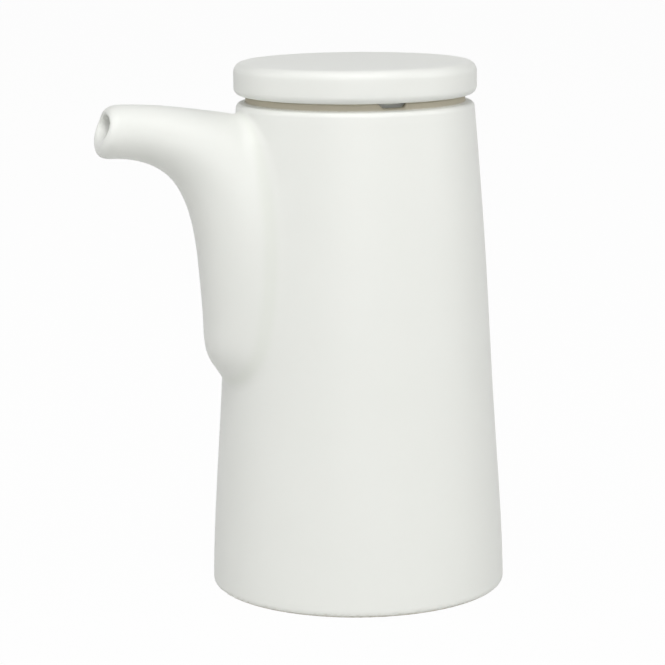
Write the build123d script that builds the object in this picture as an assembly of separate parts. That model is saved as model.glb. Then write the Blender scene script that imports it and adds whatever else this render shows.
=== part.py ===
# A porcelain syrup dispenser: a tapered pot with a trunk-shaped pouring spout, closed by a loose disc lid.
#
# The pot is slip-cast in one piece, so its wall is of even thickness and the hollow of the spout opens
# straight off the hollow of the pot. It stands on an unglazed foot ring. A low collar stands round the
# mouth, set back from the rounded shoulder, and the lid rests on it. One air notch in the collar, a quarter
# turn round from the spout, lets air in under the lid while syrup runs out. The lid is a thick disc whose
# flange hangs in the mouth with a running gap all round, and it lifts straight off.
#
# Millimetres. +Z is up, and the origin is the centre of the foot, on the surface that the pot stands on.
# The spout points along -X and the air notch along -Y. But for the notch, the pot is the same on both
# sides of the XZ plane.
from build123d import *
import os

os.makedirs("parts", exist_ok=True)

# ---------------------------------------------------------------- the pot's wall
SEAT_HEIGHT = 122.1  # the flat top of the collar, where the lid rests
FOOT_RADIUS = 36.4  # outside of the pot at the foot
SHOULDER_RADIUS = 29.05  # outside of the pot at its shoulder
FOOT_LEAN = 0.015  # inward lean of the wall at the foot, mm per mm
SHOULDER_LEAN = 0.082  # inward lean of the wall under the shoulder
# How far the wall stands proud of a straight cone, at these shares of the height.
WALL_PROUD = ((0.15, 0.41), (0.39, 0.28), (0.66, 0.45))
WALL = 4.1  # thickness of the cast wall
FLOOR_TOP = 6.0  # top of the floor inside
FLOOR_FILLET = 7.0  # inside corner between the floor and the wall

# ---------------------------------------------------------------- foot ring
FOOT_EDGE = 1.2  # rounded outer edge of the foot
FOOT_RING_WIDTH = 3.2  # the flat unglazed ring that the pot stands on
FOOT_RECESS = 1.6  # depth of the hollow under the floor
FOOT_RECESS_LEAN = 1.4  # how far the recess wall leans in over that depth
FOOT_RECESS_FILLET = 1.0

# ---------------------------------------------------------------- shoulder, collar and mouth
SHOULDER_LEDGE = 2.25  # from the outside of the shoulder in to the collar
COLLAR_WALL = 2.0  # the upright collar round the mouth, whose flat top is the seat that the lid rests on
COLLAR_HEIGHT = 1.9  # from the shoulder up to the seat
MOUTH_RADIUS = SHOULDER_RADIUS - SHOULDER_LEDGE - COLLAR_WALL  # the throat that the lid's flange hangs in
MOUTH_DEPTH = 9.6
COLLAR_INNER_EDGE = 0.5
COLLAR_OUTER_EDGE = 0.3
SHOULDER_FILLET = 0.3  # where the collar stands on the shoulder
SHOULDER_EDGE = 1.3  # rounding from the shoulder down into the wall
NOTCH_WIDTH = 7.2  # air notch through the collar, at the seat
NOTCH_FLOOR_WIDTH = 5.2
NOTCH_DEPTH = 1.25
NOTCH_CUT_PAST = 1.0  # how far the tool that cuts the notch runs past the collar on each side

# ---------------------------------------------------------------- spout
# Each station is one oval cross-section, square to the XZ plane. It is given by the two ends of its
# height, as reach beyond the shoulder's outside and drop below the seat, and by its half-width. The stations
# run from the root, low inside the pot's wall, round the bend to the lip, and the spout's surface runs
# smoothly through them.
SPOUT_STATIONS = [
    # underside     topside         half-width
    ((0.4, 71.6), (-26.0, 71.6), 10.6),
    ((4.9, 68.3), (-25.5, 68.1), 13.0),
    ((8.8, 63.1), (-24.5, 61.6), 15.9),
    ((9.8, 55.1), (-23.4, 51.6), 17.3),
    ((10.5, 44.1), (-21.8, 36.6), 17.2),
    ((12.0, 32.1), (-14.9, 17.6), 14.8),
    ((14.1, 24.9), (-4.4, 6.4), 11.6),
    ((17.8, 18.7), (8.1, 2.7), 8.9),
    ((22.9, 15.1), (18.6, 1.2), 7.2),
    ((29.1, 13.4), (26.6, 0.5), 6.5),
    ((36.7, 13.2), (32.6, 0.4), 6.4),
]
SPOUT_SECTIONS = 22  # cross-sections that the spout's surface is drawn through
HOLLOW_START = 4  # the section where the spout's hollow opens off the pot's
SPOUT_WALL_TOP = 2.4  # walls of the spout at the lip
SPOUT_WALL_SIDE = 3.3
SPOUT_WALL_UNDER = 4.7
LIP_OUTER_EDGE = 1.5
LIP_INNER_EDGE = 0.7
LIP_CLEAR = 0.5  # how far the bore's edge is told from the lip's other edges
ROOT_FILLET = 2.4  # outside, where the spout grows out of the pot
HOLLOW_FILLET = 1.2  # inside, where the spout's hollow opens off the pot's
HOLLOW_CUT_PAST = 6.0  # how far the tool that hollows the spout runs past the lip

# ---------------------------------------------------------------- lid
LID_OVERHANG = 0.6  # how far the disc reaches past the outside of the shoulder
LID_RADIUS = SHOULDER_RADIUS + LID_OVERHANG
LID_THICKNESS = 7.9
LID_TOP_EDGE = 2.4
LID_UNDER_EDGE = 1.8
FLANGE_GAP = 0.7  # running gap between the flange and the throat
FLANGE_WALL = 3.4
FLANGE_LENGTH = 8.5
FLANGE_EDGE = 0.8
LID_PLATE = 4.6  # what is left of the disc over the hollow inside the flange
LID_HOLLOW_FILLET = 2.0


def side_curve(bottom, top, draw_in, top_radius, top_lean):
    """The wall's side as one smooth line, drawn in from the outer face."""
    points = [(FOOT_RADIUS - draw_in, bottom)]
    for share, proud in WALL_PROUD:
        cone = FOOT_RADIUS + (SHOULDER_RADIUS - FOOT_RADIUS) * share
        points.append((cone + proud - draw_in, SEAT_HEIGHT * share))
    points.append((top_radius, top))
    return Spline(*points, tangents=[(-FOOT_LEAN, 1), (-top_lean, 1)])


def round_pot():
    """The pot's outer form without its spout: collar, shoulder, wall, foot edge and recess in the foot."""
    ring_outer = FOOT_RADIUS - FOOT_EDGE
    ring_inner = ring_outer - FOOT_RING_WIDTH
    recess_top = ring_inner - FOOT_RECESS_LEAN
    shoulder = SEAT_HEIGHT - COLLAR_HEIGHT
    collar_outer = MOUTH_RADIUS + COLLAR_WALL
    with BuildPart() as solid:
        with BuildSketch(Plane.XZ) as half:
            with BuildLine():
                Polyline((0, SEAT_HEIGHT), (0, FOOT_RECESS), (recess_top, FOOT_RECESS), (ring_inner, 0))
                Line((ring_inner, 0), (ring_outer, 0))
                RadiusArc((ring_outer, 0), (FOOT_RADIUS, FOOT_EDGE), -FOOT_EDGE)
                side_curve(FOOT_EDGE, shoulder, 0, SHOULDER_RADIUS, SHOULDER_LEAN)
                Polyline((SHOULDER_RADIUS, shoulder), (collar_outer, shoulder), (collar_outer, SEAT_HEIGHT))
                Line((collar_outer, SEAT_HEIGHT), (0, SEAT_HEIGHT))
            make_face()
            for place, radius in (
                ((recess_top, FOOT_RECESS), FOOT_RECESS_FILLET),
                ((SHOULDER_RADIUS, shoulder), SHOULDER_EDGE),
                ((collar_outer, shoulder), SHOULDER_FILLET),
                ((collar_outer, SEAT_HEIGHT), COLLAR_OUTER_EDGE),
            ):
                fillet(half.vertices().sort_by_distance(place)[0], radius)
        revolve(axis=Axis.Z)
    return solid.part


def round_hollow():
    """The tool that hollows the pot: floor, wall, upright throat and the flare at the mouth."""
    throat_bottom = SEAT_HEIGHT - MOUTH_DEPTH
    flare = SEAT_HEIGHT - COLLAR_INNER_EDGE
    mouth_edge = MOUTH_RADIUS + COLLAR_INNER_EDGE
    with BuildPart() as tool:
        with BuildSketch(Plane.XZ) as half:
            with BuildLine():
                Polyline((0, SEAT_HEIGHT), (0, FLOOR_TOP), (FOOT_RADIUS - WALL, FLOOR_TOP))
                side_curve(FLOOR_TOP, throat_bottom, WALL, MOUTH_RADIUS, 0)
                Line((MOUTH_RADIUS, throat_bottom), (MOUTH_RADIUS, flare))
                RadiusArc((MOUTH_RADIUS, flare), (mouth_edge, SEAT_HEIGHT), COLLAR_INNER_EDGE)
                Line((mouth_edge, SEAT_HEIGHT), (0, SEAT_HEIGHT))
            make_face()
            floor_corner = half.vertices().sort_by_distance((FOOT_RADIUS - WALL, FLOOR_TOP))[0]
            fillet(floor_corner, FLOOR_FILLET)
        revolve(axis=Axis.Z)
    return tool.part


def spout_sections():
    """The spout's cross-sections, evenly spaced: the low end, the high end and the half-width of each."""
    lows = []
    highs = []
    for low, high, _ in SPOUT_STATIONS:
        lows.append(Vector(-SHOULDER_RADIUS - low[0], 0, SEAT_HEIGHT - low[1]))
        highs.append(Vector(-SHOULDER_RADIUS - high[0], 0, SEAT_HEIGHT - high[1]))
    places = [0.0]
    for before, after in zip(lows, lows[1:]):
        places.append(places[-1] + (after - before).length)
    widths = [(place, station[2], 0) for place, station in zip(places, SPOUT_STATIONS)]
    guides = [Edge.make_spline(points, parameters=places) for points in (lows, highs, widths)]
    steps = [index / (SPOUT_SECTIONS - 1) for index in range(SPOUT_SECTIONS)]
    return [(guides[0] @ step, guides[1] @ step, (guides[2] @ step).Y) for step in steps]


def oval(low, high, half_width):
    """One oval cross-section, square to the XZ plane."""
    rise = high - low
    section = Plane(origin=(low + high) / 2, x_dir=rise, z_dir=rise.cross(Vector(0, 1, 0)))
    return section * Ellipse(rise.length / 2, half_width).face()


def spout_form():
    """The spout's outer form, from its root inside the wall to the slanted face of the lip."""
    return loft([oval(*section) for section in spout_sections()])


def spout_hollow():
    """The tool that hollows the spout. Its walls pass from the pot's thickness to those of the lip."""
    ovals = []
    for index, (low, high, half_width) in enumerate(spout_sections()[HOLLOW_START:], start=HOLLOW_START):
        share = index / (SPOUT_SECTIONS - 1)
        rise = (high - low).normalized()
        under = WALL + (SPOUT_WALL_UNDER - WALL) * share
        side = WALL + (SPOUT_WALL_SIDE - WALL) * share
        top = WALL + (SPOUT_WALL_TOP - WALL) * share
        ovals.append(oval(low + rise * under, high - rise * top, half_width - side))
    ovals.append(ovals[-1].moved(Location((-HOLLOW_CUT_PAST, 0, 0))))
    return loft(ovals)


def root_edges(solid):
    """The edges along which the spout, or its hollow, grows out of the pot's."""
    boxes = [(edge, edge.bounding_box()) for edge in solid.edges()]
    return [edge for edge, box in boxes if box.max.X < 0 and box.min.X > -FOOT_RADIUS]


def lip_edges(solid, half_width):
    """The edges round the slanted face of the lip, no wider than this from the middle."""
    lip_reach = SPOUT_STATIONS[-2][0][0]
    boxes = [(edge, edge.bounding_box()) for edge in solid.edges()]
    beyond = [(edge, box) for edge, box in boxes if box.max.X < -SHOULDER_RADIUS - lip_reach]
    return [edge for edge, box in beyond if max(box.max.Y, -box.min.Y) < half_width + LIP_CLEAR]


def air_notch():
    """The tool for the air notch: a bar with slanting sides that runs out through the collar along -Y."""
    floor = SEAT_HEIGHT - NOTCH_DEPTH
    lean = (NOTCH_WIDTH - NOTCH_FLOOR_WIDTH) / 2 / NOTCH_DEPTH
    top = floor + 2 * NOTCH_DEPTH
    half_floor = NOTCH_FLOOR_WIDTH / 2
    half_top = half_floor + lean * (top - floor)
    inner = MOUTH_RADIUS - NOTCH_CUT_PAST
    with BuildPart() as tool:
        with BuildSketch(Plane.XZ.offset(inner)):
            with BuildLine():
                Polyline(
                    (-half_floor, floor),
                    (half_floor, floor),
                    (half_top, top),
                    (-half_top, top),
                    close=True,
                )
            make_face()
        extrude(amount=COLLAR_WALL + 2 * NOTCH_CUT_PAST)
    return tool.part


def pot():
    """The pot and its spout, one casting."""
    lip_half_width = SPOUT_STATIONS[-1][2]
    blank = (round_pot() + spout_form()).solid()
    blank = blank.fillet(ROOT_FILLET, root_edges(blank))
    blank = blank.fillet(LIP_OUTER_EDGE, lip_edges(blank, lip_half_width))
    hollow = (round_hollow() + spout_hollow()).solid()
    hollow = hollow.fillet(HOLLOW_FILLET, root_edges(hollow))
    cast = (blank - hollow).solid()
    cast = cast.fillet(LIP_INNER_EDGE, lip_edges(cast, lip_half_width - SPOUT_WALL_SIDE))
    return (cast - air_notch()).solid()


def lid():
    """The lid: a thick disc with rounded edges, and the flange that keeps it in the mouth."""
    top = SEAT_HEIGHT + LID_THICKNESS
    flange_outer = MOUTH_RADIUS - FLANGE_GAP
    flange_inner = flange_outer - FLANGE_WALL
    flange_bottom = SEAT_HEIGHT - FLANGE_LENGTH
    with BuildPart() as solid:
        with BuildSketch(Plane.XZ) as half:
            with BuildLine():
                Polyline(
                    (0, top),
                    (LID_RADIUS, top),
                    (LID_RADIUS, SEAT_HEIGHT),
                    (flange_outer, SEAT_HEIGHT),
                    (flange_outer, flange_bottom),
                    (flange_inner, flange_bottom),
                    (flange_inner, top - LID_PLATE),
                    (0, top - LID_PLATE),
                    (0, top),
                )
            make_face()
            for place, radius in (
                ((LID_RADIUS, top), LID_TOP_EDGE),
                ((LID_RADIUS, SEAT_HEIGHT), LID_UNDER_EDGE),
                ((flange_outer, flange_bottom), FLANGE_EDGE),
                ((flange_inner, flange_bottom), FLANGE_EDGE),
                ((flange_inner, top - LID_PLATE), LID_HOLLOW_FILLET),
            ):
                fillet(half.vertices().sort_by_distance(place)[0], radius)
        revolve(axis=Axis.Z)
    return solid.part


for name, shape in (("pot", pot()), ("lid", lid())):
    shape.label = name
    export_step(shape, f"parts/{name}.step")
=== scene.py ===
import itertools
import math

import bpy
import numpy as np
from mathutils import Matrix, Vector


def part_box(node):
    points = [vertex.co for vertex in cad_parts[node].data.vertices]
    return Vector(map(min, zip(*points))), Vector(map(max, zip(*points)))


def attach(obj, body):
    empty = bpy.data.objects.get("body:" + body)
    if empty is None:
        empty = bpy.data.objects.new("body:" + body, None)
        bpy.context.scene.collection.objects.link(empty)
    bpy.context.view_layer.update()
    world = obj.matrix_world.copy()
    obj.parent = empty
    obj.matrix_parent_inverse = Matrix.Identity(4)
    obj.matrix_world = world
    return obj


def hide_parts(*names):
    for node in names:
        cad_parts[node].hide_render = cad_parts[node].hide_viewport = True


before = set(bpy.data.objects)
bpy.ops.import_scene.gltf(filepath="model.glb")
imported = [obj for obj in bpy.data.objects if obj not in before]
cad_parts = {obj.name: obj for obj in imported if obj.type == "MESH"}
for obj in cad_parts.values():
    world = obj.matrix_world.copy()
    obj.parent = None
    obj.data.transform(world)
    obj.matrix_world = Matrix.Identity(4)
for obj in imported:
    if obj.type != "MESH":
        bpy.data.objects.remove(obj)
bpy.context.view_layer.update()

# ================================================================ pot: the round body
# Slip-cast porcelain. Slip stands in a plaster mould until a wall of even thickness has stiffened, and
# the rest is poured out. Foot, wall, shoulder and collar are one thin-walled casting on a raised floor.

MM = 0.001
_, pot_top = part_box("pot")
SEAT = pot_top.z / MM  # height of the collar that the lid rests on
FOOT_RADIUS = pot_top.x / MM
SHOULDER_RADIUS = 29.05
FOOT_LEAN = 0.015  # inward lean of the wall at the foot and under the shoulder, mm per mm
SHOULDER_LEAN = 0.082
WALL_PROUD = ((0.15, 0.41), (0.39, 0.28), (0.66, 0.45))  # share of the height, mm proud of a cone
WALL = 4.1
FLOOR_TOP = 6.0
FLOOR_TURN = 7.0  # inside radius between floor and wall
FOOT_TURN = 1.2
FOOT_RING = 3.2  # width of the ring that the pot stands on
FOOT_RECESS = 1.6
RECESS_LEAN = 1.4
RECESS_TURN = 1.0
COLLAR_WALL = 2.0  # the low collar round the mouth, set back from the shoulder
COLLAR_HEIGHT = 1.9
COLLAR_TURN = 0.3
COLLAR_INNER_TURN = 0.5
SHOULDER_TURN = 1.3
MOUTH_RADIUS = 24.8
MOUTH_DEPTH = 9.6
WALL_STEP = 2.0  # spacing of the points up the wall
ARC_STEP = math.radians(9)
ARC_POINTS = 8  # points of the quarter turn at the mouth's edge
ABOVE = 20.0  # how far the hollow is carried on above the collar, to leave the mouth open


def fair(places, values, at, ends=None):
    """A smooth line through values at places, read off at other places. ends are its two end slopes."""
    places, values = np.asarray(places, float), np.asarray(values, float)
    gap = np.diff(places)
    rise = np.diff(values) / gap
    count = len(places)
    terms, right = np.zeros((count, count)), np.zeros(count)
    if ends:
        terms[0, 0] = terms[-1, -1] = 1
        right[0], right[-1] = ends
    else:
        terms[0, :2], terms[-1, -2:] = (2, 1), (1, 2)
        right[0], right[-1] = 3 * rise[0], 3 * rise[-1]
    for n in range(1, count - 1):
        terms[n, n - 1 : n + 2] = gap[n], 2 * (gap[n - 1] + gap[n]), gap[n - 1]
        right[n] = 3 * (gap[n] * rise[n - 1] + gap[n - 1] * rise[n])
    slope = np.linalg.solve(terms, right)
    n = np.clip(np.searchsorted(places, at) - 1, 0, count - 2)
    t = (at - places[n]) / gap[n]
    return (
        values[n] * (1 + 2 * t) * (1 - t) ** 2
        + values[n + 1] * t**2 * (3 - 2 * t)
        + gap[n] * (slope[n] * t * (1 - t) ** 2 - slope[n + 1] * t**2 * (1 - t))
    )


def turned_outline(corners):
    """Half an outline, as (radius, height) points, through corners that each have a turning radius."""
    outline = []
    for n, (r, z, turn) in enumerate(corners):
        here = np.array((r, z))
        if not turn:
            outline.append(here)
            continue
        back, on = (np.array(corners[n + side][:2]) - here for side in (-1, 1))
        back, on = back / np.linalg.norm(back), on / np.linalg.norm(on)
        half = math.acos(np.clip(back @ on, -1, 1)) / 2
        middle = here + (back + on) / np.linalg.norm(back + on) * turn / math.sin(half)
        start, end = (here + way * turn / math.tan(half) - middle for way in (back, on))
        first = math.atan2(start[1], start[0])
        sweep = (math.atan2(end[1], end[0]) - first + math.pi) % math.tau - math.pi
        for angle in np.linspace(first, first + sweep, max(2, math.ceil(abs(sweep) / ARC_STEP)) + 1):
            outline.append(middle + turn * np.array((math.cos(angle), math.sin(angle))))
    return np.array(outline)


def wall_points(low, high, draw_in, top_radius, top_lean):
    """Points up the side of the wall, drawn in from its outer face, for an outline."""
    shares = [share for share, _ in WALL_PROUD]
    taper = SHOULDER_RADIUS - FOOT_RADIUS
    cone = [FOOT_RADIUS + taper * share + proud - draw_in for share, proud in WALL_PROUD]
    heights = np.arange(low + WALL_STEP, high, WALL_STEP)
    places = [low, *(SEAT * share for share in shares), high]
    radii = fair(places, [FOOT_RADIUS - draw_in, *cone, top_radius], heights, (-FOOT_LEAN, -top_lean))
    return [(r, z, 0) for r, z in zip(radii, heights)]


ring_outer = FOOT_RADIUS - FOOT_TURN
ring_inner = ring_outer - FOOT_RING
throat_bottom = SEAT - MOUTH_DEPTH
mouth_edge = MOUTH_RADIUS + COLLAR_INNER_TURN
collar_outer = MOUTH_RADIUS + COLLAR_WALL
shoulder = SEAT - COLLAR_HEIGHT
side = wall_points(FOOT_TURN, shoulder, 0, SHOULDER_RADIUS, SHOULDER_LEAN)
body_outline = turned_outline(
    [
        (0, FOOT_RECESS, 0),
        (ring_inner - RECESS_LEAN, FOOT_RECESS, RECESS_TURN),
        (ring_inner, 0, 0),
        (FOOT_RADIUS, 0, FOOT_TURN),
        *(point for point in side if point[1] < shoulder - 2 * SHOULDER_TURN),
        (SHOULDER_RADIUS, shoulder, SHOULDER_TURN),
        (collar_outer, shoulder, COLLAR_TURN),
        (collar_outer, SEAT, COLLAR_TURN),
        (0, SEAT, 0),
    ]
)
quarter = np.linspace(0, math.pi / 2, ARC_POINTS)
mouth_points = [
    (mouth_edge - COLLAR_INNER_TURN * math.cos(a), SEAT - COLLAR_INNER_TURN * (1 - math.sin(a)), 0)
    for a in quarter
]
hollow_outline = turned_outline(
    [
        (0, FLOOR_TOP, 0),
        (FOOT_RADIUS - WALL, FLOOR_TOP, FLOOR_TURN),
        *wall_points(FLOOR_TOP + FLOOR_TURN, throat_bottom, WALL, MOUTH_RADIUS, 0),
        (MOUTH_RADIUS, throat_bottom, 0),
        *mouth_points,
        (mouth_edge, SEAT + ABOVE, 0),
        (0, SEAT + ABOVE, 0),
    ]
)

# ================================================================ pot: the spout
# Cast with the body, shaped like a trunk: a wide root that swells out of the wall, a bend, and a
# level snout. Its hollow opens straight off the pot's and narrows to a small bore, high in a thick lip.

# Stations along the spout: reach beyond the shoulder and drop below the seat, of the underside and of the
# topside, and the half-width. They run from inside the wall at the root, up round the bend to the lip.
STATIONS = (
    ((0.4, 71.6), (-26.0, 71.6), 10.6),
    ((4.9, 68.3), (-25.5, 68.1), 13.0),
    ((8.8, 63.1), (-24.5, 61.6), 15.9),
    ((9.8, 55.1), (-23.4, 51.6), 17.3),
    ((10.5, 44.1), (-21.8, 36.6), 17.2),
    ((12.0, 32.1), (-14.9, 17.6), 14.8),
    ((14.1, 24.9), (-4.4, 6.4), 11.6),
    ((17.8, 18.7), (8.1, 2.7), 8.9),
    ((22.9, 15.1), (18.6, 1.2), 7.2),
    ((29.1, 13.4), (26.6, 0.5), 6.5),
    ((36.6, 13.2), (34.0, 0.4), 7.0),
)
SECTIONS = 120
HOLLOW_FROM = 0.19  # share of the spout's length at which its own hollow begins
LIP_WALL_OVER = 2.4
LIP_WALL_BESIDE = 2.3
LIP_WALL_UNDER = 4.7
TINY = 0.001  # keeps sums off the last point of a table, and off the middle of an oval
TABLE_STEP = 0.2
TABLE_REACH = 40.0  # how far past the foot and the shoulder the tables of sums run
SPOUT_LOW = (-SHOULDER_RADIUS - TABLE_REACH, 40.0)  # the part of the XZ plane that the spout's sums cover
SPOUT_HIGH = (0.0, SEAT + 6.0)


def spout_sections(start, shell, under, beside, over):
    """The spout's oval sections: centres, rising directions, half-heights and half-widths. Each is drawn in
    by walls, which pass from shell at the root to under, beside and over at the lip."""
    lows, highs = (
        np.array([(-SHOULDER_RADIUS - reach, SEAT - drop) for reach, drop in ends])
        for ends in list(zip(*STATIONS))[:2]
    )
    places = np.concatenate([[0], np.cumsum(np.linalg.norm(np.diff(lows, axis=0), axis=1))])
    shares = np.linspace(start, 1, SECTIONS)
    at = shares * places[-1]
    low, high = (np.stack([fair(places, ends[:, n], at) for n in (0, 1)], 1) for ends in (lows, highs))
    half_width = fair(places, [width for _, _, width in STATIONS], at)
    rise = (high - low) / np.linalg.norm(high - low, axis=1)[:, None]
    under, beside, over = (shell + (wall - shell) * shares for wall in (under, beside, over))
    low, high = low + rise * under[:, None], high - rise * over[:, None]
    return (low + high) / 2, rise, np.linalg.norm(high - low, axis=1) / 2, half_width - beside


def place_in_spout(sections, x, z):
    """For points of the XZ plane: how far up the section through them they lie, its half-height and
    half-width, and how far they lie short of the first section and past the last."""
    centres, rises, heights, widths = sections
    from_x, from_z = x[..., None] - centres[:, 0], z[..., None] - centres[:, 1]
    past = from_z * rises[:, 0] - from_x * rises[:, 1]
    up = from_x * rises[:, 0] + from_z * rises[:, 1]
    # the pairs of sections that a point may lie between; the first and last are also paired with themselves
    a = np.array([0, *range(SECTIONS)])
    b = np.array([*range(SECTIONS), SECTIONS - 1])
    between = (past[..., a] > 0) & (past[..., b] <= 0)
    between[..., 0] = past[..., 0] <= 0
    between[..., -1] = past[..., -1] > 0
    gap = np.where(between & (a != b), past[..., a] - past[..., b], 1)
    t = np.clip(past[..., a] / gap, 0, 1) * (a != b)
    # inside the bend a point may lie between several pairs, and belongs to the one whose middle is nearest
    share = np.where(between, np.abs(up[..., a]) / heights[a], np.inf)
    best = share.argmin(-1)[..., None]
    found = []
    for each in (up, np.broadcast_to(heights, up.shape), np.broadcast_to(widths, up.shape)):
        each = each[..., a] + t * (each[..., b] - each[..., a])
        found.append(np.take_along_axis(each, best, -1)[..., 0])
    return (*found, -past[..., 0], past[..., -1])


def table_of(sums, low, high):
    """sums(u, v), worked out once on a close grid, as a function that reads between the grid's points."""
    axes = [np.arange(a, b + TABLE_STEP, TABLE_STEP) for a, b in zip(low, high)]
    grids = sums(*np.meshgrid(*axes, indexing="ij"))

    def read(u, v):
        steps = ((u - low[0]) / TABLE_STEP, (v - low[1]) / TABLE_STEP)
        places = [np.clip(step, 0, len(axis) - 1 - TINY) for step, axis in zip(steps, axes)]
        (i, j), (s, t) = (p.astype(int) for p in places), (p % 1 for p in places)
        return [
            (g[i, j] * (1 - s) + g[i + 1, j] * s) * (1 - t)
            + (g[i, j + 1] * (1 - s) + g[i + 1, j + 1] * s) * t
            for g in grids
        ]

    return read


spout_form = spout_sections(0, 0, 0, 0, 0)
bore_form = spout_sections(HOLLOW_FROM, WALL, LIP_WALL_UNDER, LIP_WALL_BESIDE, LIP_WALL_OVER)
spout_place = table_of(lambda x, z: place_in_spout(spout_form, x, z), SPOUT_LOW, SPOUT_HIGH)
bore_place = table_of(lambda x, z: place_in_spout(bore_form, x, z), SPOUT_LOW, SPOUT_HIGH)

# ================================================================ pot: one casting
# Spout and body melt into each other: the mould's own fillet and a thick coat of glaze leave no crease.
# The form is worked out as the distance of every point from its surface, below zero inside the porcelain,
# so that edges soften as glaze softens them.

# how far the blend between body and spout reaches, as pairs of a height and its reach there
ROOT_SOFT = ((40, 3.6), (62, 3.6), (80, 3.4), (100, 4.4), (112, 4.6), (119, 2.4))
BORE_SOFT = 3.0  # the same where the spout's hollow opens off the pot's
LIP_SOFT = 3.6  # outer edge of the lip
LIP_INNER_SOFT = 1.6  # edge of the bore in the lip
EDGE_SOFT = 0.3  # every other edge between outside and hollow
LIP_FROM = -56.0  # where the lip begins, on the X axis
LIP_BLEND = 2.0  # stretch of the X axis over which the one edge passes into the other
NOTCH_WIDTH = 7.2  # the air notch through the collar, a quarter turn round from the spout
NOTCH_FLOOR_WIDTH = 5.2
NOTCH_DEPTH = 1.25
NOTCH_SOFT = 0.4
NOTCH_FROM = -20.0  # it is cut outwards from here, along the Y axis
PITCH = 0.7  # size of the mesh's faces
FINE_PITCH = 0.35  # their length along the lip, and their height at the collar and its small steps
FINE_FROM = SEAT - 14  # the height from which they are that flat
SKIN_MARGIN = 2.0  # how far the grid that finds them runs past the pot's box
SMOOTHINGS = 4
SETTLING_MOVES = 3
NUDGE = 0.3  # the step over which a slope is measured
LEAST_SLOPE = 0.2  # least square of a slope, which holds back the moves where a form is flat


def outline_distance(outline, r, z):
    """How far points lie outside a half outline that begins and ends on the axis: negative inside."""
    least = np.full(r.shape, np.inf)
    inside = np.zeros(r.shape, bool)
    for (r0, z0), (r1, z1) in zip(outline, outline[1:]):
        dr, dz = r1 - r0, z1 - z0
        t = np.clip(((r - r0) * dr + (z - z0) * dz) / (dr * dr + dz * dz), 0, 1)
        least = np.minimum(least, np.hypot(r - r0 - t * dr, z - z0 - t * dz))
        if dz:
            inside ^= ((z0 > z) != (z1 > z)) & (r < r0 + (z - z0) * dr / dz)
    return [np.where(inside, -least, least)]


def oval_distance(up, across, half_height, half_width):
    """How far points lie outside an oval, closely enough near its edge."""
    share = np.maximum(np.hypot(up / half_height, across / half_width), TINY)
    steep = np.maximum(np.hypot(up / half_height**2, across / half_width**2), TINY / half_height)
    return share * (share - 1) / steep


def joined(a, b, reach):
    """Two forms as one, with the corner between them filled over that reach."""
    return np.minimum(a, b) - np.maximum(reach - np.abs(a - b), 0) ** 2 / (4 * reach)


def cut_by(a, b, reach):
    """What is left of a form where the other isn't, with the edge between them rounded over that reach."""
    return -joined(-a, b, reach)


half_low = (0, -SKIN_MARGIN)
half_high = (FOOT_RADIUS + TABLE_REACH, SEAT + SKIN_MARGIN)
body_distance = table_of(lambda r, z: outline_distance(body_outline, r, z), half_low, half_high)
hollow_distance = table_of(lambda r, z: outline_distance(hollow_outline, r, z), half_low, half_high)
notch_lean = (NOTCH_WIDTH - NOTCH_FLOOR_WIDTH) / 2 / NOTCH_DEPTH


def blanks(x, y, z):
    """How far points lie outside the round body and outside the spout, each by itself and solid."""
    (body,) = body_distance(np.hypot(x, y), z)
    up, height, width, short, past = spout_place(x, z)
    spout = cut_by(oval_distance(up, y, height, width), -past, LIP_SOFT)
    return body, np.maximum(spout, short)


def pot_distance(x, y, z):
    """How far points lie outside the pot's porcelain: negative inside its walls."""
    body, spout = blanks(x, y, z)
    solid = joined(body, spout, np.interp(z, *zip(*ROOT_SOFT)))
    (hollow,) = hollow_distance(np.hypot(x, y), z)
    up, height, width, short, _ = bore_place(x, z)
    bore = np.maximum(oval_distance(up, y, height, width), short)
    edge_soft = np.interp(x, (LIP_FROM - LIP_BLEND, LIP_FROM), (LIP_INNER_SOFT, EDGE_SOFT))
    cast = cut_by(solid, joined(hollow, bore, BORE_SOFT), edge_soft)
    over = z - SEAT + NOTCH_DEPTH
    beside = (np.abs(x) - NOTCH_FLOOR_WIDTH / 2 - notch_lean * over) / math.hypot(1, notch_lean)
    notch = np.maximum(np.maximum(beside, -over), y - NOTCH_FROM)
    return cut_by(cast, notch, NOTCH_SOFT)


def settled(points, distance):
    """Points moved straight on to the surface, where the distance is zero."""
    for _ in range(SETTLING_MOVES):
        here = distance(*points.T)
        slope = np.stack([distance(*(points + step).T) - here for step in NUDGE * np.eye(3)], 1) / NUDGE
        points = points - here[:, None] * slope / np.maximum((slope**2).sum(1), LEAST_SLOPE)[:, None]
    return points


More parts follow.
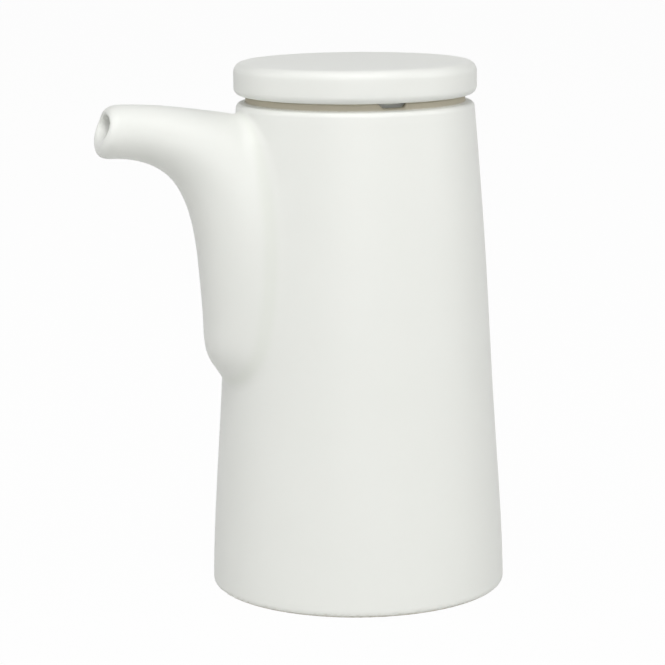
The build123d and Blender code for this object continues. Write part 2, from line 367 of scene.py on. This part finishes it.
def skin_of(distance, low, high):
    """A closed mesh of four-sided faces over the surface of a form: its points and its faces."""
    axes = [np.arange(a - SKIN_MARGIN, b + SKIN_MARGIN, PITCH) for a, b in zip(low, high)]
    at_lip = np.arange(low[0] - SKIN_MARGIN, LIP_FROM, FINE_PITCH)
    at_collar = np.arange(FINE_FROM, high[2] + SKIN_MARGIN, FINE_PITCH)
    axes[0] = np.concatenate([at_lip, axes[0][axes[0] > LIP_FROM + PITCH / 2]])
    axes[2] = np.concatenate([axes[2][axes[2] < FINE_FROM - PITCH / 2], at_collar])
    inside = distance(*np.meshgrid(*axes, indexing="ij")) < 0
    # one point for each cell of the grid that the surface crosses
    cells = np.array(inside.shape) - 1
    corners = [
        inside[i : i + cells[0], j : j + cells[1], k : k + cells[2]].astype(np.int8)
        for i, j, k in itertools.product((0, 1), repeat=3)
    ]
    crossed = sum(corners) % 8 > 0
    number = np.full(cells, -1)
    number[crossed] = np.arange(crossed.sum())
    middles = [(axis[:-1] + axis[1:]) / 2 for axis in axes]
    points = np.stack([middle[at] for middle, at in zip(middles, np.nonzero(crossed))], 1)
    # one face for each grid line that the surface crosses, with its corners in the four cells round the line
    faces = []
    for axis in range(3):
        turn = (axis, (axis + 1) % 3, (axis + 2) % 3)
        side, cell = inside.transpose(turn), number.transpose(turn)
        low_end, high_end = side[:-1, 1:-1, 1:-1], side[1:, 1:-1, 1:-1]
        i, j, k = np.nonzero(low_end != high_end)
        ring = np.stack([cell[i, j, k], cell[i, j + 1, k], cell[i, j + 1, k + 1], cell[i, j, k + 1]], 1)
        faces.append(np.where(low_end[i, j, k][:, None], ring, ring[:, ::-1]))
    faces = np.concatenate(faces)
    # each point in turn is drawn to the middle of its neighbours, which evens the faces out
    following = np.roll(faces, -1, 1)
    ends = np.concatenate([faces, following]).ravel()
    starts = np.concatenate([following, faces]).ravel()
    share = np.bincount(ends, minlength=len(points))[:, None]
    for _ in range(SMOOTHINGS):
        points = settled(points, distance)
        sums = [np.bincount(ends, points[starts, n], len(points)) for n in range(3)]
        points = np.stack(sums, 1) / share
    return settled(points, distance), faces


def mesh_piece(name, points, faces, body, node):
    """A smooth-shaded piece made of points in millimetres, riding on a body in the place of a node."""
    mesh = bpy.data.meshes.new(name)
    mesh.from_pydata((points * MM).tolist(), [], [list(face) for face in faces])
    mesh.polygons.foreach_set("use_smooth", np.ones(len(mesh.polygons), bool))
    piece = bpy.data.objects.new(name, mesh)
    bpy.context.scene.collection.objects.link(piece)
    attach(piece, body)
    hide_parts(node)
    return piece


pot_low, pot_high = (np.array(corner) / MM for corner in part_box("pot"))
pot_points, pot_faces = skin_of(pot_distance, pot_low, pot_high)
pot = mesh_piece("pot_casting", pot_points, pot_faces, "pot", "pot")

# ================================================================ glaze, bare clay and painted shade
# Hard porcelain under a satin, faintly green-grey glaze that lies in low waves a centimetre apart. The ring
# that stood on the kiln shelf is wiped bare, and so is the collar, where glaze would chip under the lid.
# The clay is painted darker than fired porcelain would be, as painted shade in the gap under the lid.

GLAZE = "#E9EAE6"
GLAZE_POOLED = "#E5E7E1"  # where thick glaze has run together, as round the spout's root
GLAZE_ROUGHNESS = 0.42  # satin: each lamp shows as one broad, soft highlight
GLAZE_IOR = 1.45
BARE_CLAY_AND_GAP_SHADE = "#BEB7A5"  # bare clay, painted darker as shade: it draws the dark line in the gap under the lid
CLAY_ROUGHNESS = 0.72
WAVE = 13.0  # from crest to crest of the slow waves in the glaze
WAVE_DEPTH = 0.016
PEEL = 1.6  # the fine orange peel between them
PEEL_DEPTH = 0.0025
CLAY_GRAIN = 0.35
CLAY_GRAIN_DEPTH = 0.012
SHADE_SPOTS = 26.0  # size of the slow changes of shade
SHADE_SHARE = 0.35  # how far they take the glaze towards the pooled one


def linear(hex_colour):
    """A colour written as sRGB hex, as the linear values that Blender works in."""
    parts = [int(hex_colour[n : n + 2], 16) / 255 for n in (1, 3, 5)]
    return (*(c / 12.92 if c <= 0.04045 else ((c + 0.055) / 1.055) ** 2.4 for c in parts), 1)


def add_node(tree, kind, settings=(), links=()):
    """Adds a node, with its sockets or its own properties set, and its sockets linked from others."""
    node = tree.nodes.new(kind)
    for name, value in dict(settings).items():
        if isinstance(name, str) and hasattr(node, name):
            setattr(node, name, value)
        else:
            node.inputs[name].default_value = value
    for name, socket in dict(links).items():
        tree.links.new(socket, node.inputs[name])
    return node


def porcelain(name):
    """Satin glaze, a little greener where the mesh's pooled values say so, and dry unglazed clay where its
    bare_and_shade values do. That clay's colour is painted darker, as painted shade in the gap under the
    lid."""
    material = bpy.data.materials.new(name)
    material.use_nodes = True
    tree = material.node_tree
    tree.nodes.clear()
    place = add_node(tree, "ShaderNodeTexCoord").outputs["Object"]
    pooled = add_node(tree, "ShaderNodeAttribute", {"attribute_name": "pooled"}).outputs["Fac"]
    bare_and_shade = add_node(tree, "ShaderNodeAttribute", {"attribute_name": "bare_and_shade"}).outputs["Fac"]
    spots, waves, peel, grain = (
        add_node(tree, "ShaderNodeTexNoise", {"Scale": 1 / (size * MM), "Detail": detail}, {"Vector": place})
        for size, detail in ((SHADE_SPOTS, 2.0), (WAVE, 1.0), (PEEL, 2.0), (CLAY_GRAIN, 3.0))
    )
    shade = add_node(
        tree,
        "ShaderNodeMath",
        {"operation": "MULTIPLY_ADD", 1: SHADE_SHARE, "use_clamp": True},
        {0: spots.outputs["Fac"], 2: pooled},
    )
    glaze = add_node(
        tree,
        "ShaderNodeMix",
        {"data_type": "RGBA", 6: linear(GLAZE), 7: linear(GLAZE_POOLED)},
        {0: shade.outputs[0]},
    )
    colour = add_node(
        tree, "ShaderNodeMix", {"data_type": "RGBA", 7: linear(BARE_CLAY_AND_GAP_SHADE)}, {0: bare_and_shade, 6: glaze.outputs[2]}
    )
    roughness = add_node(
        tree,
        "ShaderNodeMapRange",
        {"From Min": 0.0, "From Max": 1.0, "To Min": GLAZE_ROUGHNESS, "To Max": CLAY_ROUGHNESS},
        {"Value": bare_and_shade},
    )
    bump = None
    for texture, depth in ((waves, WAVE_DEPTH), (peel, PEEL_DEPTH)):
        links = {"Height": texture.outputs["Fac"]}
        if bump:
            links["Normal"] = bump.outputs["Normal"]
        bump = add_node(tree, "ShaderNodeBump", {"Distance": depth * MM, "Strength": 1.0}, links)
    grainy = add_node(
        tree,
        "ShaderNodeBump",
        {"Distance": CLAY_GRAIN_DEPTH * MM},
        {"Height": grain.outputs["Fac"], "Strength": bare_and_shade, "Normal": bump.outputs["Normal"]},
    )
    surface = add_node(
        tree,
        "ShaderNodeBsdfPrincipled",
        {"IOR": GLAZE_IOR},
        {
            "Base Color": colour.outputs[2],
            "Roughness": roughness.outputs["Result"],
            "Normal": grainy.outputs["Normal"],
        },
    )
    add_node(tree, "ShaderNodeOutputMaterial", {}, {"Surface": surface.outputs[0]})
    return material


def mark(piece, name, values):
    """Stores one value for each point of a piece, for its material to read."""
    layer = piece.data.attributes.new(name, "FLOAT", "POINT")
    layer.data.foreach_set("value", np.asarray(values, np.float32))


def fade(values, full, none):
    """1 where values are at full or beyond it, falling smoothly to 0 at none."""
    t = np.clip((values - none) / (full - none), 0, 1)
    return t * t * (3 - 2 * t)


POOL_REACH = 0.6  # how far the pool of glaze reaches, as a share of the blend at the root
STAND_BARE = 0.25  # the glaze is wiped off the foot up to this height
STAND_GLAZED = 0.55  # and is whole again from this one
STAND_MARGIN = 1.0  # the wiped band reaches this far inside the foot's ring
BARE_FADE = 0.2  # width over which the glaze thins out to the collar's bare clay and its painted shade
BARE_RISE = 0.3  # the same in height, above the shoulder
x, y, z = pot_points.T
from_axis = np.hypot(x, y)
body_near, spout_near = blanks(x, y, z)
root_soft = np.interp(z, *zip(*ROOT_SOFT))
mark(pot, "pooled", fade(np.abs(body_near - spout_near) / root_soft, 0.0, POOL_REACH))
stand = fade(z, STAND_BARE, STAND_GLAZED) * (from_axis > ring_inner - STAND_MARGIN)
# the collar: bare clay, whose darker colour is painted shade in the gap under the lid
collar_bare_and_shade = fade(z, shoulder + BARE_RISE, shoulder)
collar_bare_and_shade *= fade(from_axis, collar_outer + BARE_FADE, collar_outer + 2 * BARE_FADE)
collar_bare_and_shade *= fade(from_axis, MOUTH_RADIUS + BARE_FADE, MOUTH_RADIUS)
mark(pot, "bare_and_shade", np.maximum(stand, collar_bare_and_shade))
pot.data.materials.append(porcelain("glazed_porcelain_pot"))

# ================================================================ lid
# Jiggered porcelain: a thick disc with well-rounded edges, hollow below, and a flange that hangs in the
# mouth. It was fired standing on the flange, whose edge is bare. Nothing holds it but its own weight.

_, lid_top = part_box("lid")
LID_RADIUS = lid_top.x / MM
LID_TOP = lid_top.z / MM
LID_TOP_TURN = 2.4
LID_UNDER_TURN = 1.8
FLANGE_CLEARANCE = 0.7
FLANGE_RADIUS = MOUTH_RADIUS - FLANGE_CLEARANCE
FLANGE_WALL = 3.4
FLANGE_LENGTH = 8.5
FLANGE_TURN = 0.8
LID_PLATE = 4.6
LID_HOLLOW_TURN = 2.0
LID_CORNER_TURN = 0.5  # where the flange meets the underside
LID_TURNS = 256
LID_RING_STEP = 1.2  # widest gap between the rings of points on its flats


def close_spaced(outline, gap):
    """An outline with more points on its long stretches, so that no gap is wider."""
    points = [outline[0]]
    for a, b in zip(outline, outline[1:]):
        count = max(1, math.ceil(np.linalg.norm(b - a) / gap))
        points += [a + (b - a) * n / count for n in range(1, count + 1)]
    return np.array(points)


flange_inner = FLANGE_RADIUS - FLANGE_WALL
lid_outline = turned_outline(
    [
        (0, LID_TOP - LID_PLATE, 0),
        (flange_inner, LID_TOP - LID_PLATE, LID_HOLLOW_TURN),
        (flange_inner, SEAT - FLANGE_LENGTH, FLANGE_TURN),
        (FLANGE_RADIUS, SEAT - FLANGE_LENGTH, FLANGE_TURN),
        (FLANGE_RADIUS, SEAT, LID_CORNER_TURN),
        (LID_RADIUS, SEAT, LID_UNDER_TURN),
        (LID_RADIUS, LID_TOP, LID_TOP_TURN),
        (0, LID_TOP, 0),
    ]
)
# the outline is turned about the axis: rings of points, with one point on the axis below and one above
rings = close_spaced(lid_outline, LID_RING_STEP)[1:-1]
angles = np.arange(LID_TURNS) * math.tau / LID_TURNS
r, z = rings[:, 0, None], rings[:, 1, None] + 0 * angles
lid_points = np.stack([r * np.cos(angles), r * np.sin(angles), z], -1).reshape(-1, 3)
lid_points = np.vstack([lid_points, [0, 0, lid_outline[0][1]], [0, 0, lid_outline[-1][1]]])
ring, turn = np.meshgrid(np.arange(len(rings) - 1), np.arange(LID_TURNS), indexing="ij")
on = (turn + 1) % LID_TURNS
round_each_face = ((ring, turn), (ring, on), (ring + 1, on), (ring + 1, turn))
lid_faces = np.stack([a * LID_TURNS + b for a, b in round_each_face], -1).reshape(-1, 4).tolist()
last = (len(rings) - 1) * LID_TURNS
for n in range(LID_TURNS):
    m = (n + 1) % LID_TURNS
    lid_faces += [(m, n, len(lid_points) - 2), (last + n, last + m, len(lid_points) - 1)]
lid = mesh_piece("lid_disc", lid_points, lid_faces, "lid", "lid")
above_flange = lid_points[:, 2] - (SEAT - FLANGE_LENGTH)
mark(lid, "pooled", np.zeros(len(lid_points)))
mark(lid, "bare_and_shade", fade(above_flange, STAND_BARE, STAND_GLAZED))
lid.data.materials.append(porcelain("glazed_porcelain_lid"))

# ================================================================ table top
# A matt white board, so wide that its edges stay out of sight, with a rim turned up all round. It shows
# almost plain white, and keeps only a faint shadow of the pot.

FLOOR_REACH = 6.0  # from the middle to each side
RIM_REACH = 3.0  # how far out and how high the rim is turned, so that it also fills a view from low down
RIM_RISE = 2.6
BOARD_COLOUR = "#D0D0CE"
SHOWN_WHITE = 0.975  # share of plain white in the board as it is seen, which leaves the shadow faint

corner_ways = ((-1, -1), (1, -1), (1, 1), (-1, 1))
floor_edges = ((FLOOR_REACH, 0), (FLOOR_REACH + RIM_REACH, RIM_RISE))
floor_corners = [(reach * i, reach * j, rise) for reach, rise in floor_edges for i, j in corner_ways]
floor_faces = [(0, 1, 2, 3), *((n, n + 4, (n + 1) % 4 + 4, (n + 1) % 4) for n in range(4))]
floor_mesh = bpy.data.meshes.new("floor")
floor_mesh.from_pydata(floor_corners, [], floor_faces)
floor = bpy.data.objects.new("floor", floor_mesh)
bpy.context.scene.collection.objects.link(floor)

# Matt board: it gives no highlight or mirror image. The lens, and what the glaze and the view through it
# pick up, see it as nearly plain white, while it lights the pot from below as a pale grey.
paper = bpy.data.materials.new("matt_white_board")
paper.use_nodes = True
tree = paper.node_tree
tree.nodes.clear()
board = add_node(tree, "ShaderNodeBsdfDiffuse", {"Color": linear(BOARD_COLOUR)})
white = add_node(tree, "ShaderNodeEmission", {"Color": (1, 1, 1, 1), "Strength": 1.0})
path = add_node(tree, "ShaderNodeLightPath")
seen = path.outputs["Is Camera Ray"]
for ray in ("Is Glossy Ray", "Is Transmission Ray"):
    either = add_node(tree, "ShaderNodeMath", {"operation": "MAXIMUM"}, {0: seen, 1: path.outputs[ray]})
    seen = either.outputs[0]
whiteness = add_node(tree, "ShaderNodeMath", {"operation": "MULTIPLY", 1: SHOWN_WHITE}, {0: seen})
shown = add_node(
    tree,
    "ShaderNodeMixShader",
    {},
    {0: whiteness.outputs[0], 1: board.outputs[0], 2: white.outputs[0]},
)
add_node(tree, "ShaderNodeOutputMaterial", {}, {"Surface": shown.outputs[0]})
floor_mesh.materials.append(paper)

# ================================================================ camera
# A long lens, set a little above the pot and a fifth of a right angle round from its air notch, so that
# the spout points to the left and slightly towards it.

VIEW_TURN = math.radians(-19.2)  # from the air notch round to the lens
VIEW_DOWN = 0.1865  # radians below level
VIEW_ROLL = -0.0085
VIEW_DISTANCE = 0.6399
VIEW_AIM = (-6.009, 0, 62.768)  # the point that the lens looks at, in millimetres, before the turn
LENS = 139.6
SENSOR = 36.0

camera_data = bpy.data.cameras.new("camera")
camera_data.lens = LENS
camera_data.sensor_width = SENSOR
camera = bpy.data.objects.new("camera", camera_data)
bpy.context.scene.collection.objects.link(camera)
bpy.context.scene.camera = camera
view_turn = Matrix.Rotation(VIEW_TURN, 4, "Z")
tilt = Matrix.Rotation(math.pi / 2 - VIEW_DOWN, 4, "X") @ Matrix.Rotation(VIEW_ROLL, 4, "Z")
aim = Vector(VIEW_AIM) * MM
camera.matrix_world = view_turn @ Matrix.Translation(aim) @ tilt @ Matrix.Translation((0, 0, VIEW_DISTANCE))
bpy.context.scene.view_settings.view_transform = "Standard"

# ================================================================ light
# Soft boxes in a dim grey room. The strongest hangs high over the lens, weaker ones stand low in front
# and on both sides and high on the left, and a faint one behind lifts the edge of the lid.

ROOM_LIGHT = "#383938"
LAMP_AWAY = 1.4  # from the middle of the pot to each soft box
LAMP_AIM = Vector((0, 0, 0.065))
# name, way round from the lens to its right and way up in degrees, side in metres, watts
SOFT_BOXES = (
    ("front", 0, 12, 0.8, 5.1),
    ("key", 0, 55, 1.1, 14.1),
    ("right", 80, 22, 0.8, 6.2),
    ("left", -80, 20, 0.8, 3.6),
    ("over_left", -90, 62, 0.9, 2.5),
    ("back", 180, 30, 0.8, 0.9),
)

world = bpy.data.worlds.new("studio")
bpy.context.scene.world = world
world.use_nodes = True
tree = world.node_tree
tree.nodes.clear()
room = add_node(tree, "ShaderNodeBackground", {"Color": linear(ROOM_LIGHT), "Strength": 1.0})
add_node(tree, "ShaderNodeOutputWorld", {}, {"Surface": room.outputs[0]})
for name, round_by, up, side_length, watts in SOFT_BOXES:
    lamp = bpy.data.lights.new(name, "AREA")
    lamp.shape = "SQUARE"
    lamp.size = side_length
    lamp.energy = watts
    holder = bpy.data.objects.new(name, lamp)
    bpy.context.scene.collection.objects.link(holder)
    lean = Matrix.Rotation(math.radians(round_by), 4, "Z") @ Matrix.Rotation(math.radians(90 - up), 4, "X")
    away = Matrix.Translation((0, 0, LAMP_AWAY))
    holder.matrix_world = Matrix.Translation(LAMP_AIM) @ view_turn @ lean @ away
